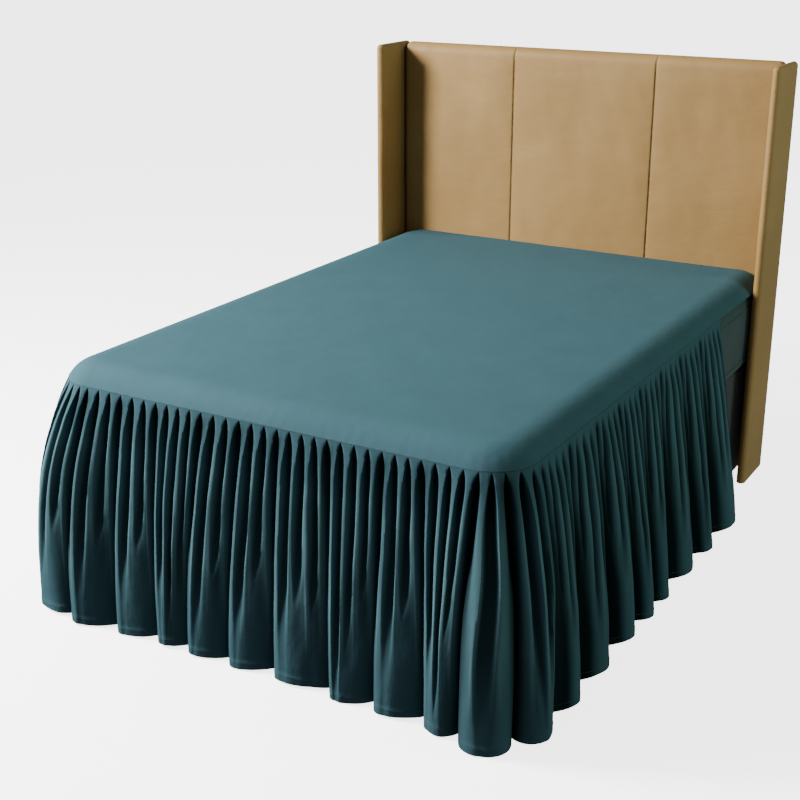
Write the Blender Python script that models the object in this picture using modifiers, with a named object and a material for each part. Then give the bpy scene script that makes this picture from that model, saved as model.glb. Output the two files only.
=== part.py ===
"""Bedspread-style bed skirt on a plain double bed with a winged headboard.

A smooth top panel lies over the mattress and turns down over its foot and
sides. Three gathered skirt widths hang from its lower edge to the floor. Every
gather is a narrow ridge between two V-shaped valleys at the seam, and three or
four of them run together into one wide fold at the hem.

Axes: +X across the bed, +Y from the foot to the head, +Z up. The origin is the
middle of the bed base's underside, on the floor.
"""
import math

import bmesh
import bpy
from mathutils import Vector

# ---------------------------------------------------------------- bed sizes
BED_WIDTH = 1.37            # a double mattress, 54 by 75 inches
BED_LENGTH = 1.90
MATTRESS_BOTTOM = 0.40
MATTRESS_CORNER = 0.115     # plan radius of the mattress's corners
MATTRESS_EDGE = 0.085       # radius of its soft top edge
MATTRESS_LOWER_EDGE = 0.030
BASE_INSET = 0.020          # the base stands this far inside the mattress
BASE_EDGE = 0.012
GAP = 0.0003                # between pieces that touch

# ------------------------------------------------------------- cloth sizes
CLOTH = 0.002               # thickness of the cloth
SEAM_HEIGHT = 0.660         # height of the gathering seam
TOP_RISE = 0.048            # the top panel lies this far above the seam
EDGE_TURN = math.radians(60.0)      # the top panel turns this far by the seam
SEAM_CLEAR = 0.008          # seam line outside the mattress's side
SEAM_CORNER = 0.120         # plan radius of the seam line's corners
SEAM_GAP = 0.0016           # drop from the top panel's edge to the skirt's
TOP_HEAD_CLEAR = 0.005      # the top panel ends this far before the headboard
SKIRT_END = 2.100           # place on the seam line where the side skirts end,
                            # about 0.45 m before the headboard
SKIRT_END_HEM = 2.180       # and where their ends meet the hem

# ------------------------------------------------------- gathers and folds
HEADING = 0.008             # plain strip under the seam, before the gathers
GATHER_DEPTH = 0.036        # deepest the small gathers get
VALLEY_TIP = 0.17           # half a valley's width, as a share of its gather
VALLEY_WIDE = 0.34          # the same lower down
VALLEY_WIDENS = 0.20        # share of the drop over which it widens
GATHER_START = 0.07         # share of the drop where a gather is full depth
FADE_EARLY = 0.45           # share of the drop where the shortest gather ends
FADE_LATE = 1.10
VALLEY_REACH = 0.0005       # how far outside the seam line the valleys stay
GATHER_REST = 0.18          # share of a gather's depth left at the hem
FOLD_SHARP_TOP = 0.12       # small: narrow valleys between broad lobes
FOLD_SHARP_HEM = 0.55
WANDER = 0.006              # sideways stray of a ridge line
HEM_LIFT = 0.003            # lowest the hem hangs above the floor
HEM_WAVE = 0.006            # how uneven the hem is
HEM_WAVE_LENGTH = 0.37
GOLDEN = 0.6180339887       # spreads the uneven values of successive gathers

# Heights of the skirt's rows, as shares of the drop below the heading.
DROP_ROWS = (0.07, 0.18, 0.36, 0.63, 1.0)
TOP_EDGE_STEPS = 5          # facets of the top panel's rounded edge
TOP_ARC_STEPS = 20          # upright lines of the top panel round a corner
TOP_STRAIGHT_STEPS = 6      # and along each side and the foot

# Flare of the hem outside the seam line. Columns: place along the seam line
# from the middle of the foot (positive round to the +X side), flare, and how
# early it is reached (1: evenly down to the hem, more: mostly near the seam).
FLARE = (
    (-2.31, 0.090, 1.60),
    (-0.90, 0.082, 1.90),
    (-0.66, 0.126, 2.70),
    (-0.45, 0.091, 2.00),
    (0.00, 0.082, 1.60),
    (0.50, 0.085, 1.70),
    (0.64, 0.142, 2.60),
    (0.74, 0.108, 2.00),
    (0.90, 0.090, 1.50),
    (1.50, 0.096, 1.25),
    (2.31, 0.108, 1.15),
)

# One row for each large fold: where its first valley starts on the seam line
# and where it meets the hem (metres along the seam line), its number of
# gathers, its depth at the hem and its lean (under 1: crest near its start).
# The last row only ends the panel.
FOLD_COLUMNS = ("seam", "hem", "gathers", "depth", "lean")
FOOT_FOLDS = (
    (-0.774, -0.790, 4, 0.060, 0.80),
    (-0.665, -0.690, 4, 0.072, 0.66),
    (-0.556, -0.590, 3, 0.070, 0.58),
    (-0.444, -0.450, 3, 0.074, 0.50),
    (-0.327, -0.312, 4, 0.064, 0.58),
    (-0.182, -0.212, 3, 0.066, 0.50),
    (-0.064, -0.084, 3, 0.072, 0.50),
    (0.050, 0.057, 4, 0.076, 0.52),
    (0.195, 0.227, 4, 0.070, 0.50),
    (0.348, 0.355, 3, 0.074, 0.52),
    (0.453, 0.497, 4, 0.068, 0.58),
    (0.600, 0.588, 2, 0.090, 0.66),
    (0.660, 0.668, 3, 0.080, 1.10),
    (0.774, 0.755, 0, 0.070, 0.80),
)
RIGHT_FOLDS = (
    (0.774, 0.755, 4, 0.072, 1.60),
    (0.935, 0.910, 4, 0.076, 1.40),
    (1.104, 1.110, 4, 0.080, 1.60),
    (1.252, 1.290, 4, 0.068, 1.40),
    (1.403, 1.410, 4, 0.064, 1.60),
    (1.565, 1.535, 4, 0.078, 1.40),
    (1.720, 1.765, 4, 0.070, 1.60),
    (1.900, 1.915, 5, 0.070, 1.40),
    (SKIRT_END, SKIRT_END_HEM, 0, 0.060, 1.00),
)
LEFT_FOLDS = (
    (-SKIRT_END, -SKIRT_END_HEM, 4, 0.060, 1.0),
    (-1.940, -1.975, 4, 0.056, 0.9),
    (-1.775, -1.800, 5, 0.064, 1.1),
    (-1.595, -1.610, 3, 0.054, 0.9),
    (-1.475, -1.480, 4, 0.062, 0.8),
    (-1.310, -1.335, 4, 0.060, 1.0),
    (-1.150, -1.160, 4, 0.056, 0.9),
    (-0.990, -0.985, 5, 0.062, 1.0),
    (-0.774, -0.790, 0, 0.060, 1.0),
)

# ---------------------------------------------------------- headboard sizes
HEADBOARD_HEIGHT = 1.39
HEADBOARD_THICK = 0.075
HEADBOARD_HALF = 0.698      # half the width between the wings
WING_DEPTH = 0.140          # the wings stand this far in front of the panel
WING_THICK = 0.028
PANEL_EDGE = 0.020
WING_EDGE = 0.014

# ---------------------------------------------------------------- materials
MATERIALS = {
    # name: (red, green, blue), roughness, metallic
    "teal_cloth": ((0.065, 0.170, 0.185), 0.70, 0.0),
    "mattress_cover": ((0.030, 0.110, 0.115), 0.85, 0.0),
    "base_cover": ((0.035, 0.035, 0.037), 0.85, 0.0),
    "tan_leather": ((0.460, 0.330, 0.180), 0.50, 0.0),
}

# ------------------------------------------------------------ worked values
TOP_HEIGHT = SEAM_HEIGHT + TOP_RISE
EDGE_RADIUS = TOP_RISE / (1.0 - math.cos(EDGE_TURN))
SEAM_X = BED_WIDTH / 2 + SEAM_CLEAR
SEAM_Y = -BED_LENGTH / 2 - SEAM_CLEAR
SEAM_STRAIGHT = SEAM_X - SEAM_CORNER
SEAM_ARC = SEAM_CORNER * math.pi / 2
SIDE_START = SEAM_STRAIGHT + SEAM_ARC
HEAD_Y = BED_LENGTH / 2 - TOP_HEAD_CLEAR
HEAD_PLACE = SIDE_START + HEAD_Y - (SEAM_Y + SEAM_CORNER)


def blend(low, high, share):
    """The value that lies a share of the way from low to high."""
    return low + (high - low) * share


def ease(low, high, value):
    """0 below low, 1 above high, and a smooth step between."""
    share = min(1.0, max(0.0, (value - low) / (high - low)))
    return share * share * (3.0 - 2.0 * share)


def uneven(index, step=GOLDEN):
    """An even spread of values from 0 to 1 for successive whole numbers."""
    return (index * step) % 1.0


# --------------------------------------------------------------- seam line
def seam_line(place):
    """Point and outward direction of the seam line in plan."""
    along = abs(place)
    side = 1.0 if place >= 0.0 else -1.0
    if along <= SEAM_STRAIGHT:
        point, out = (along, SEAM_Y), (0.0, -1.0)
    elif along <= SIDE_START:
        turn = (along - SEAM_STRAIGHT) / SEAM_CORNER
        out = (math.sin(turn), -math.cos(turn))
        point = (SEAM_STRAIGHT + SEAM_CORNER * out[0],
                 SEAM_Y + SEAM_CORNER + SEAM_CORNER * out[1])
    else:
        point = (SEAM_X, SEAM_Y + SEAM_CORNER + along - SIDE_START)
        out = (1.0, 0.0)
    return (Vector((side * point[0], point[1], 0.0)),
            Vector((side * out[0], out[1], 0.0)))


def flare_at(place):
    """Flare of the hem at a place on the seam line, and how early it comes."""
    for low, high in zip(FLARE, FLARE[1:]):
        if place <= high[0]:
            share = ease(low[0], high[0], place)
            return blend(low[1], high[1], share), blend(low[2], high[2], share)
    return FLARE[-1][1:]


# ------------------------------------------------------------ gathered cloth
def flare_share(place, down):
    """Share of the hem's flare that is reached at a share of the drop."""
    return 1.0 - (1.0 - down) ** flare_at(place)[1]


def ridge_reach(place, down):
    """How far out of the seam line a ridge stands."""
    return flare_at(place)[0] * flare_share(place, down)


def fold_valley(fold, across, down):
    """Depth of the large fold at a share across it and a share down."""
    sharp = blend(FOLD_SHARP_TOP, FOLD_SHARP_HEM, ease(0.0, 0.9, down))
    leaning = across ** fold["lean"]
    lobe = (4.0 * leaning * (1.0 - leaning)) ** sharp
    growth = ease(0.0, 0.22, down) * blend(0.45, 1.0, down)
    return fold["depth"] * growth * (1.0 - lobe)


def valley_half_width(down):
    """Half a gather valley's width, as a share of the gather."""
    return blend(VALLEY_TIP, VALLEY_WIDE, ease(0.0, VALLEY_WIDENS, down))


def gather_valley(index, phase, down):
    """Depth of the small gather at its phase (0 and 1 in its valleys)."""
    distance = min(phase, 1.0 - phase) / valley_half_width(down)
    if distance >= 1.0:
        return 0.0
    nearest = index if phase < 0.5 else index + 1
    fade_end = blend(FADE_EARLY, FADE_LATE, uneven(nearest))
    rise = ease(0.0, GATHER_START, down)
    fade = blend(1.0, GATHER_REST, ease(0.45 * fade_end, fade_end, down))
    depth = GATHER_DEPTH * blend(0.75, 1.0, uneven(nearest, 0.37))
    return depth * rise * fade * (1.0 - distance)


def column_phase(edge, down):
    """A column follows its valley, or one of the ridge's two edges."""
    width = valley_half_width(down)
    return {"valley": 0.0, "rise": width, "fall": 1.0 - width, "end": 1.0}[edge]


def skirt_point(fold, step, edge, index, drop):
    """A point of the skirt's outer face, drop metres below the seam."""
    down = max(0.0, (drop - HEADING) / (SEAM_HEIGHT - HEADING))
    phase = column_phase(edge, down)
    across = (step + phase) / fold["gathers"]
    seam = blend(fold["seam"], fold["seam_end"], across)
    hem = blend(fold["hem"], fold["hem_end"], across)
    stray = WANDER * math.sin(math.pi * (1.7 * down + 2.0 * uneven(index)))
    inside = 4.0 * across * (1.0 - across)
    place = blend(seam, hem, flare_share(hem, down)) + stray * inside * down
    depth = max(fold_valley(fold, across, down),
                gather_valley(index, phase, down))
    floor = VALLEY_REACH * ease(0.0, 0.05, down)
    reach = max(floor, ridge_reach(place, drop / SEAM_HEIGHT) - depth)
    swell = math.sin(2.0 * math.pi * place / HEM_WAVE_LENGTH)
    lift = HEM_LIFT + HEM_WAVE * (0.5 + 0.5 * swell)
    height = SEAM_HEIGHT - drop * (1.0 - lift / SEAM_HEIGHT)
    point, out = seam_line(place)
    return point + out * reach + Vector((0.0, 0.0, height))


def fold_rows(table):
    """The table's rows by column name, each with the next row's start."""
    rows = []
    for row, after in zip(table, table[1:]):
        fold = dict(zip(FOLD_COLUMNS, row))
        fold["seam_end"], fold["hem_end"] = after[0], after[1]
        rows.append(fold)
    return rows


def skirt_columns(table, first_gather):
    """Every upright column of a skirt width: fold, step, edge and gather."""
    columns = []
    gather = first_gather
    folds = fold_rows(table)
    for fold in folds:
        for step in range(fold["gathers"]):
            for edge in ("valley", "rise", "fall"):
                columns.append((fold, step, edge, gather))
            gather += 1
    last = folds[-1]
    columns.append((last, last["gathers"] - 1, "end", gather - 1))
    return columns


# ------------------------------------------------------------ object helpers
def clear_scene():
    for item in list(bpy.data.objects):
        bpy.data.objects.remove(item, do_unlink=True)


def make_material(name):
    colour, roughness, metallic = MATERIALS[name]
    material = bpy.data.materials.new(name)
    material.use_nodes = True
    shader = material.node_tree.nodes["Principled BSDF"]
    shader.inputs["Base Color"].default_value = (*colour, 1.0)
    shader.inputs["Roughness"].default_value = roughness
    shader.inputs["Metallic"].default_value = metallic
    return material


def add_object(name, mesh_builder, collection, material):
    """A named object in world space from a filled bmesh."""
    mesh = bpy.data.meshes.new(name)
    mesh_builder.to_mesh(mesh)
    mesh_builder.free()
    piece = bpy.data.objects.new(name, mesh)
    collection.objects.link(piece)
    mesh.materials.append(material)
    return piece


def add_grid(builder, rows):
    """Quads between rows of points, faces up the right-hand way."""
    grid = [[builder.verts.new(point) for point in row] for row in rows]
    for upper, lower in zip(grid, grid[1:]):
        for index in range(len(upper) - 1):
            builder.faces.new((upper[index], lower[index],
                               lower[index + 1], upper[index + 1]))
    return grid


def thicken(piece):
    """Gives an open cloth its thickness behind its outer face."""
    wall = piece.modifiers.new("cloth", "SOLIDIFY")
    wall.thickness = CLOTH
    wall.offset = -1.0
    wall.use_even_offset = True


def shade(piece, angle=math.radians(40.0)):
    piece.data.shade_smooth()
    piece.data.set_sharp_from_angle(angle=angle)


# ------------------------------------------------------------------- pieces
def build_skirt(name, table, first_gather, collection, material):
    """One gathered width, a little short of its neighbour at each end."""
    columns = skirt_columns(table, first_gather)
    below = SEAM_HEIGHT - HEADING
    drops = [SEAM_GAP, HEADING] + [HEADING + share * below for share in DROP_ROWS]
    rows = []
    for drop in drops:
        row = [skirt_point(*column, drop) for column in columns]
        for end, inner in ((0, 1), (-1, -2)):
            row[end] = row[end] + (row[inner] - row[end]).normalized() * GAP
        rows.append(row)
    builder = bmesh.new()
    add_grid(builder, rows)
    piece = add_object(name, builder, collection, material)
    thicken(piece)
    shade(piece)
    return piece


def spread(first, last, steps):
    """Evenly spaced places from the first up to, but not at, the last."""
    return [blend(first, last, step / steps) for step in range(steps)]


def top_places():
    """Places of the top panel's upright lines along the seam line."""
    corner = (SEAM_STRAIGHT, SIDE_START, TOP_ARC_STEPS)
    side = (SIDE_START, HEAD_PLACE, TOP_STRAIGHT_STEPS)
    half = spread(*corner) + spread(*side) + [HEAD_PLACE]
    foot = spread(-SEAM_STRAIGHT, SEAM_STRAIGHT, TOP_STRAIGHT_STEPS)
    return [-place for place in reversed(half)] + foot[1:] + half


def build_top_panel(collection, material):
    """The smooth cloth: a flat top and a rounded edge down to the seam."""
    rows = []
    for step in range(TOP_EDGE_STEPS + 1):
        turn = EDGE_TURN * step / TOP_EDGE_STEPS
        inset = EDGE_RADIUS * (math.sin(EDGE_TURN) - math.sin(turn))
        height = TOP_HEIGHT - EDGE_RADIUS * (1.0 - math.cos(turn))
        row = []
        for place in top_places():
            point, out = seam_line(place)
            row.append(point - out * inset + Vector((0.0, 0.0, height)))
        rows.append(row)
    builder = bmesh.new()
    grid = add_grid(builder, rows)
    builder.faces.new(grid[0])
    piece = add_object("top_panel", builder, collection, material)
    thicken(piece)
    shade(piece)
    return piece


def rounded_block(low, high, foot_radius=0.0, steps=1):
    """A box between two corners, its upright foot edges rounded."""
    builder = bmesh.new()
    bmesh.ops.create_cube(builder, size=1.0)
    for vert in builder.verts:
        for axis in range(3):
            vert.co[axis] = blend(low[axis], high[axis], vert.co[axis] + 0.5)
    foot_edges = [edge for edge in builder.edges
                  if edge.verts[0].co.xy == edge.verts[1].co.xy
                  and edge.verts[0].co.y < 0.0]
    if foot_radius > 0.0:
        bmesh.ops.bevel(builder, geom=foot_edges, offset=foot_radius,
                        segments=steps, profile=0.5, affect="EDGES")
    return builder


def round_level(builder, level, radius, steps):
    """Rounds the foot and side edges that lie at one height."""
    head = max(vert.co.y for vert in builder.verts)
    edges = [edge for edge in builder.edges
             if all(abs(vert.co.z - level) < 1e-6 for vert in edge.verts)
             and not all(abs(vert.co.y - head) < 1e-6 for vert in edge.verts)]
    bmesh.ops.bevel(builder, geom=edges, offset=radius, segments=steps,
                    profile=0.5, affect="EDGES")


def build_mattress(collection, material):
    top = TOP_HEIGHT - CLOTH - GAP
    half = BED_WIDTH / 2
    builder = rounded_block((-half, -BED_LENGTH / 2, MATTRESS_BOTTOM),
                            (half, BED_LENGTH / 2, top), MATTRESS_CORNER, 6)
    round_level(builder, top, MATTRESS_EDGE, 5)
    round_level(builder, MATTRESS_BOTTOM, MATTRESS_LOWER_EDGE, 2)
    piece = add_object("mattress", builder, collection, material)
    shade(piece)
    return piece


def build_base(collection, material):
    half = BED_WIDTH / 2 - BASE_INSET
    reach = BED_LENGTH / 2 - BASE_INSET
    builder = rounded_block((-half, -reach, 0.0),
                            (half, BED_LENGTH / 2, MATTRESS_BOTTOM - GAP),
                            MATTRESS_CORNER / 2, 4)
    piece = add_object("bed_base", builder, collection, material)
    soften(piece, BASE_EDGE, 2)
    return piece


def soften(piece, width, steps):
    bevel = piece.modifiers.new("edge", "BEVEL")
    bevel.width = width
    bevel.segments = steps
    bevel.limit_method = "ANGLE"
    bevel.angle_limit = math.radians(60.0)
    shade(piece)


def build_headboard(collection, material):
    """The upholstered panel behind the mattress and its two wings."""
    front = BED_LENGTH / 2 + GAP
    back = front + HEADBOARD_THICK
    panel = rounded_block((-HEADBOARD_HALF, front, 0.0),
                          (HEADBOARD_HALF, back, HEADBOARD_HEIGHT))
    piece = add_object("headboard_panel", panel, collection, material)
    soften(piece, PANEL_EDGE, 3)
    for name, side in (("left", -1.0), ("right", 1.0)):
        inner = side * (HEADBOARD_HALF + GAP)
        outer = side * (HEADBOARD_HALF + GAP + WING_THICK)
        wing = rounded_block((min(inner, outer), front - WING_DEPTH, 0.0),
                             (max(inner, outer), back, HEADBOARD_HEIGHT))
        piece = add_object(f"headboard_wing_{name}", wing, collection, material)
        soften(piece, WING_EDGE, 3)


def main():
    clear_scene()
    collection = bpy.data.collections.new("bed_skirt_on_bed")
    bpy.context.scene.collection.children.link(collection)
    material = {name: make_material(name) for name in MATERIALS}
    cloth = material["teal_cloth"]
    build_top_panel(collection, cloth)
    build_skirt("skirt_foot", FOOT_FOLDS, 0, collection, cloth)
    build_skirt("skirt_right", RIGHT_FOLDS, 50, collection, cloth)
    build_skirt("skirt_left", LEFT_FOLDS, 100, collection, cloth)
    build_mattress(collection, material["mattress_cover"])
    build_base(collection, material["base_cover"])
    build_headboard(collection, material["tan_leather"])


main()
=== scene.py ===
# %% [markdown]
# # A gathered bed skirt on a plain bed
#
# This lesson dresses a packed CAD model. The real thing is a smooth cloth over
# a mattress with three gathered widths of the same cloth sewn to its lower
# edge. The packed solids give every place and size; the cells below build the
# fine cloth, the padded headboard and their finishes on top of them.

import math

import bmesh
import bpy
import numpy as np
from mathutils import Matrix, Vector


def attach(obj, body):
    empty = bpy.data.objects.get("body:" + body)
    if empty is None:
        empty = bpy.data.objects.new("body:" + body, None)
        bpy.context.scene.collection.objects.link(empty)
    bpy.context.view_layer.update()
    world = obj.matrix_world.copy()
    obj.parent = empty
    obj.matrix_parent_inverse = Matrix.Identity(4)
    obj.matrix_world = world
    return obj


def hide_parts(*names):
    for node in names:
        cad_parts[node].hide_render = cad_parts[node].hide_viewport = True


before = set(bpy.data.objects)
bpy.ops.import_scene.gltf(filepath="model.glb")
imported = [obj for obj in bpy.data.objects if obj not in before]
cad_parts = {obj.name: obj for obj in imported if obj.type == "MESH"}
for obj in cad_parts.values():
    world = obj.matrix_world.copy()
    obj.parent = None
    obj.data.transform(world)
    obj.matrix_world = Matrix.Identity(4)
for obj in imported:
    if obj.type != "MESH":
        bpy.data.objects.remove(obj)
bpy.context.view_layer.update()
print("nodes:", ", ".join(sorted(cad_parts)))

# %% [markdown]
# ## Camera
# The camera comes first, so that every later choice is judged from the right
# place. Its position, turn and lens were worked out from the seam line, the
# hem and the headboard of a bed of this size.

# %% Camera
CAMERA_PLACE = (1.89, -3.544, 1.867)
CAMERA_TURN = math.radians(30.01)  # from +Y towards -X
CAMERA_TILT = math.radians(19.74)  # downwards
IMAGE_WIDTH = 800
FOCAL_PIXELS = 1387.0
SENSOR = 36.0


def add_object(name, data):
    """An object at the origin that shows the data."""
    made = bpy.data.objects.new(name, data)
    bpy.context.scene.collection.objects.link(made)
    return made


camera_data = bpy.data.cameras.new("camera")
camera = add_object("camera", camera_data)
camera.location = CAMERA_PLACE
camera.rotation_euler = (math.pi / 2 - CAMERA_TILT, 0.0, CAMERA_TURN)
camera_data.sensor_width = SENSOR
camera_data.lens = FOCAL_PIXELS / IMAGE_WIDTH * SENSOR
camera_data.clip_end = 200.0
bpy.context.scene.camera = camera
print("lens", round(camera_data.lens, 1), "mm")

# %% [markdown]
# ## Sizes
# The cloth is drawn from the same named sizes as the solids, in metres. X runs
# across the bed, Y from the foot to the head and Z up from the floor.

# %% Sizes
BED_WIDTH = 1.37
BED_LENGTH = 1.90
MATTRESS_BOTTOM = 0.40
MATTRESS_CORNER = 0.115
MATTRESS_EDGE = 0.085
MATTRESS_LOWER_EDGE = 0.030
GAP = 0.0003
CAD_CLOTH = 0.002
SEAM_HEIGHT = 0.660
TOP_RISE = 0.048
EDGE_TURN = math.radians(60.0)
SEAM_CLEAR = 0.008
SEAM_CORNER = 0.120
TOP_HEAD_CLEAR = 0.005
SKIRT_END = 2.100
SKIRT_END_HEM = 2.180

TOP_HEIGHT = SEAM_HEIGHT + TOP_RISE
EDGE_RADIUS = TOP_RISE / (1.0 - math.cos(EDGE_TURN))
SEAM_X = BED_WIDTH / 2 + SEAM_CLEAR
SEAM_Y = -BED_LENGTH / 2 - SEAM_CLEAR
SEAM_STRAIGHT = SEAM_X - SEAM_CORNER
SIDE_START = SEAM_STRAIGHT + SEAM_CORNER * math.pi / 2
HEAD_Y = BED_LENGTH / 2 - TOP_HEAD_CLEAR
HEAD_PLACE = SIDE_START + HEAD_Y - (SEAM_Y + SEAM_CORNER)
CLOTH = 0.0012  # the shown cloth, thinner than its solid
GOLDEN = 0.6180339887
print("seam line", round(2 * HEAD_PLACE, 3), "m long")

# %% [markdown]
# ## Small helpers
# Blends, smooth steps and a smooth random field. The field is a seeded grid of
# random values with a smooth step between them, so each run is the same.

# %% Helpers for shapes


def blend(low, high, share):
    """The value that lies a share of the way from low to high."""
    return low + (high - low) * share


def ease(low, high, value):
    """0 below low, 1 above high, and a smooth step between."""
    share = np.clip((value - low) / (high - low), 0.0, 1.0)
    return share * share * (3.0 - 2.0 * share)


def uneven(index, step=GOLDEN):
    """An even spread of values from 0 to 1 for successive whole numbers."""
    return (index * step) % 1.0


def soft_noise(x, y, size, seed):
    """Smooth random values from -1 to 1 that change over about one size."""
    grid = np.random.default_rng(seed).uniform(-1.0, 1.0, (64, 64))
    x, y = np.broadcast_arrays(np.asarray(x) / size, np.asarray(y) / size)
    column, row = np.floor(x).astype(int), np.floor(y).astype(int)
    u, v = ease(0.0, 1.0, x - column), ease(0.0, 1.0, y - row)
    corner = [[grid[(row + j) % 64, (column + i) % 64] for i in (0, 1)]
              for j in (0, 1)]
    return blend(blend(corner[0][0], corner[0][1], u),
                 blend(corner[1][0], corner[1][1], u), v)


def seam_line(place):
    """Plan point and outward direction, for an array of places along it."""
    along = np.abs(place)
    side = np.where(place >= 0.0, 1.0, -1.0)
    turn = np.clip((along - SEAM_STRAIGHT) / SEAM_CORNER, 0.0, math.pi / 2)
    x = np.minimum(along, SEAM_STRAIGHT) + SEAM_CORNER * np.sin(turn)
    y = (SEAM_Y + SEAM_CORNER * (1.0 - np.cos(turn))
         + np.maximum(along - SIDE_START, 0.0))
    out = np.stack((side * np.sin(turn), -np.cos(turn), 0.0 * turn), axis=-1)
    return np.stack((side * x, y, 0.0 * turn), axis=-1), out


def new_object(name, vertices, faces, edges=()):
    """A named mesh object at the origin, its place in its mesh."""
    mesh = bpy.data.meshes.new(name)
    mesh.from_pydata([tuple(v) for v in vertices], list(edges), faces)
    mesh.update()
    return add_object(name, mesh)


def measure(made):
    """Prints how many triangles an object has."""
    faces = made.data.polygons
    print(made.name + ":", sum(len(face.vertices) - 2 for face in faces),
          "triangles")


print("corner of the seam line:", np.round(seam_line(np.array(0.667))[0], 3))

# %% [markdown]
# ## Writing materials as expressions
# A material is a tree of nodes. Small classes keep the trees readable: a Wire
# stands for one output socket, and + - * on it add Math nodes. A Tree has one
# method that adds any other node, and a Paint is a Tree that holds a material.

# %% Wires


def sum_of(operation, swapped=False):
    """An operator's method, which adds one Math node."""
    def method(self, other):
        pair = (other, self) if swapped else (self, other)
        return self.owner.node("ShaderNodeMath", {"operation": operation},
                               dict(enumerate(pair)))
    return method


class Wire:
    """One socket of a shader tree, with sums written as Python."""

    __add__, __radd__ = sum_of("ADD"), sum_of("ADD", swapped=True)
    __sub__, __rsub__ = sum_of("SUBTRACT"), sum_of("SUBTRACT", swapped=True)
    __mul__, __rmul__ = sum_of("MULTIPLY"), sum_of("MULTIPLY", swapped=True)

    def __init__(self, owner, socket):
        self.owner, self.socket = owner, socket

    def step(self, low, high):
        """0 below low, 1 above high, smooth between."""
        return self.owner.node("ShaderNodeMapRange",
                               {"interpolation_type": "SMOOTHSTEP"},
                               {"Value": self, "From Min": low,
                                "From Max": high})


print("wires take sums:", [key for key in vars(Wire) if "__r" in key])

# %% Trees and paints


class Tree:
    """A node tree, and the one method that adds a node to it."""

    def __init__(self, tree):
        self.tree = tree
        tree.nodes.clear()

    def node(self, kind, settings=None, values=None, out=0):
        """Adds a node: settings first, then values or links. Gives a Wire."""
        made = self.tree.nodes.new(kind)
        for key, value in (settings or {}).items():
            setattr(made, key, value)
        for key, value in (values or {}).items():
            socket = made.inputs[key]
            if isinstance(value, Wire):
                self.tree.links.new(value.socket, socket)
            elif hasattr(value, "__len__") and len(value) == 3:
                four = socket.type == "RGBA"
                socket.default_value = (*value, 1.0) if four else value
            else:
                socket.default_value = value
        return Wire(self, made.outputs[out])


class Paint(Tree):
    """A material and its node tree."""

    def __init__(self, name):
        self.material = bpy.data.materials.new(name)
        self.material.use_nodes = True
        super().__init__(self.material.node_tree)

    def place(self):
        """Where a point lies on the piece, in metres."""
        return self.node("ShaderNodeTexCoord", {}, out="Object")

    def written(self, name):
        """A number that was written at each point of the mesh."""
        return self.node("ShaderNodeAttribute", {"attribute_name": name},
                         out=2)

    def mix(self, share, low, high):
        """A colour that lies a share of the way from low to high."""
        return self.node("ShaderNodeMix", {"data_type": "RGBA"},
                         {0: share, 6: low, 7: high}, out=2)

    def shade(self, colour, share):
        """A colour made lighter or darker by a number."""
        grey = self.node("ShaderNodeCombineXYZ", {},
                         {0: share, 1: share, 2: share})
        return self.node("ShaderNodeVectorMath", {"operation": "MULTIPLY"},
                         {0: colour, 1: grey})

    def noise(self, where, scale, detail=2.0, roughness=0.5):
        """Cloudy values from 0 to 1."""
        return self.node("ShaderNodeTexNoise", {},
                         {"Vector": where, "Scale": scale, "Detail": detail,
                          "Roughness": roughness})

    def stretched(self, where, scale):
        """Coordinates scaled unevenly, for streaks and threads."""
        return self.node("ShaderNodeMapping", {},
                         {"Vector": where, "Scale": scale})

    def bump(self, height, distance, strength=1.0, under=None):
        """Relief of so many metres, on top of a coarser one below it."""
        values = {"Height": height, "Distance": distance,
                  "Strength": strength}
        if under is not None:
            values["Normal"] = under
        return self.node("ShaderNodeBump", {}, values)

    def finish(self, **values):
        """The Principled shader with its sockets, named with _ for spaces."""
        sockets = {key.replace("_", " "): v for key, v in values.items()}
        shader = self.node("ShaderNodeBsdfPrincipled", {}, sockets)
        end = self.tree.nodes.new("ShaderNodeOutputMaterial")
        self.tree.links.new(shader.socket, end.inputs["Surface"])
        return self.material


print("a paint has:", [key for key in vars(Paint) if "_" not in key])

# %% [markdown]
# ## Teal cloth
# The real cloth is a brushed plain weave: matt, with a soft pale sheen where
# it turns away, fine cross threads and faint slubs. Its colour is also
# darkened down in the folds, as painted shade, and made paler along the
# ridges, as a painted highlight. Threads follow the cut cloth, so the weave
# reads the cloth's own UV map, in metres, and the painted shade and highlight
# read attributes.

# %% Teal cloth
TEAL = (0.031, 0.072, 0.086)
# Painted shade deep in the folds, then a painted highlight on the ridges.
TEAL_PAINTED_SHADE = (0.0003, 0.0042, 0.0050)
TEAL_PAINTED_HIGHLIGHT = (0.056, 0.120, 0.136)
THREAD_PITCH = 0.0011  # one thread of the weave
WAVE_BAND = 0.314  # band of a wave texture of scale 1


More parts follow.
